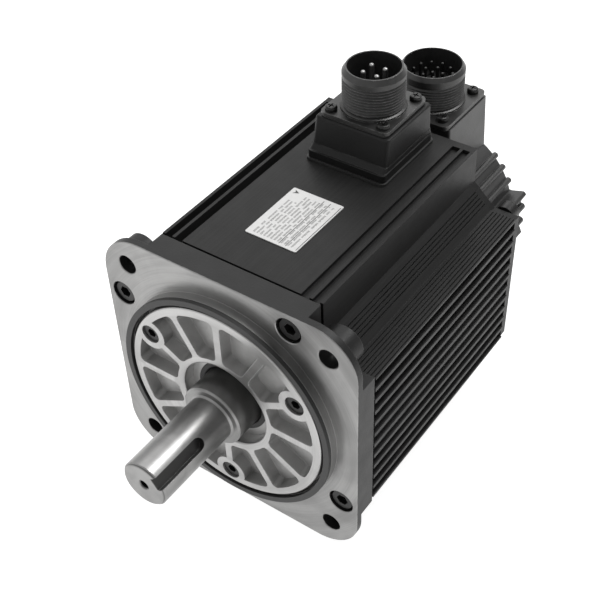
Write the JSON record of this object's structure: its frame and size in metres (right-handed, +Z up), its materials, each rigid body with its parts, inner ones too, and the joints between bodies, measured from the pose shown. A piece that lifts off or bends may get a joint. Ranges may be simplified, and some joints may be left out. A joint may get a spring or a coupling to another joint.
{
  "type": "servo motor",
  "caption": "Square-flange servo motor with a keyed shaft, ribbed front cover, finned black frame and round threaded power and encoder connectors on top.",
  "frame": {"origin": "centre of the front flange's mounting face, on the shaft axis", "axes": "+Y rearwards along the shaft axis, towards the encoder end; the shaft points along -Y; +Z up, towards the connectors; +X to the right seen from the shaft end"},
  "size_m": [0.13, 0.2431, 0.1722],
  "materials": {
    "machined_aluminium": "turned and lightly etched",
    "dark_ring": "dark satin",
    "black_screw": "black oxide",
    "seal_steel": "pressed sheet",
    "seal_rubber": "matt black",
    "bearing_steel": "ground",
    "cage_brass": "satin",
    "ground_steel": "ground",
    "lamination_steel": "stacked sheets",
    "magnet_coat": "plated",
    "black_paint": "satin black paint over cast and extruded aluminium",
    "winding_copper": "varnished wire",
    "hub_aluminium": "turned",
    "disc_glass": "clear",
    "board_green": "circuit board",
    "dark_plastic": "moulded",
    "lead_insulation": "insulation",
    "connector_metal": "olive-black plating",
    "pin_silver": "plated",
    "label_paper": "printed film"
  },
  "bodies": {
    "housing": {"front_flange": "machined_aluminium", "front_cover": "machined_aluminium", "pilot_ring": "dark_ring", "front_cover_screws": "black_screw", "bracket_screws": "black_screw", "rear_bracket_screws": "black_screw", "rear_cover_screws": "black_screw", "power_box_screws": "black_screw", "power_receptacle_screws": "black_screw", "encoder_receptacle_screws": "black_screw", "oil_seal_case": "seal_steel", "oil_seal_lip": "seal_rubber", "power_box_gasket": "seal_rubber", "power_receptacle_gasket": "seal_rubber", "encoder_receptacle_gasket": "seal_rubber", "front_bearing_outer_ring": "bearing_steel", "front_bearing_shields": "bearing_steel", "rear_bearing_outer_ring": "bearing_steel", "rear_bearing_shields": "bearing_steel", "wave_washer": "bearing_steel", "stator_core": "lamination_steel", "motor_frame": "black_paint", "rear_bracket": "black_paint", "rear_cover": "black_paint", "power_box": "black_paint", "slot_windings": "winding_copper", "front_winding_head": "winding_copper", "rear_winding_head": "winding_copper", "encoder_posts": "hub_aluminium", "encoder_board": "board_green", "encoder_reader": "dark_plastic", "power_insert": "dark_plastic", "encoder_insert": "dark_plastic", "encoder_leads": "lead_insulation", "power_leads": "lead_insulation", "power_receptacle": "connector_metal", "encoder_receptacle": "connector_metal", "power_pins": "pin_silver", "encoder_pins": "pin_silver", "nameplate": "label_paper"},
    "rotor": {"shaft": "ground_steel", "rotor_core": "lamination_steel", "rotor_magnets": "magnet_coat", "front_bearing_inner_ring": "bearing_steel", "rear_bearing_inner_ring": "bearing_steel", "encoder_hub": "hub_aluminium", "encoder_disc": "disc_glass"},
    "front_bearing_set": {"front_bearing_balls": "bearing_steel", "front_bearing_cage": "cage_brass"},
    "rear_bearing_set": {"rear_bearing_balls": "bearing_steel", "rear_bearing_cage": "cage_brass"}
  },
  "joints": [
    {"name": "shaft_spin", "type": "hinge", "parent": "housing", "child": "rotor", "pos_m": [0, 0, 0], "axis": [0, 1, 0], "continuous": true},
    {"name": "front_cage_spin", "type": "hinge", "parent": "housing", "child": "front_bearing_set", "pos_m": [0, 0.018, 0], "axis": [0, 1, 0], "continuous": true},
    {"name": "rear_cage_spin", "type": "hinge", "parent": "housing", "child": "rear_bearing_set", "pos_m": [0, 0.127, 0], "axis": [0, 1, 0], "continuous": true}
  ],
  "couplings": [
    {"joint": "front_cage_spin", "follows": "shaft_spin", "ratio": 0.3965},
    {"joint": "rear_cage_spin", "follows": "shaft_spin", "ratio": 0.3815}
  ]
}
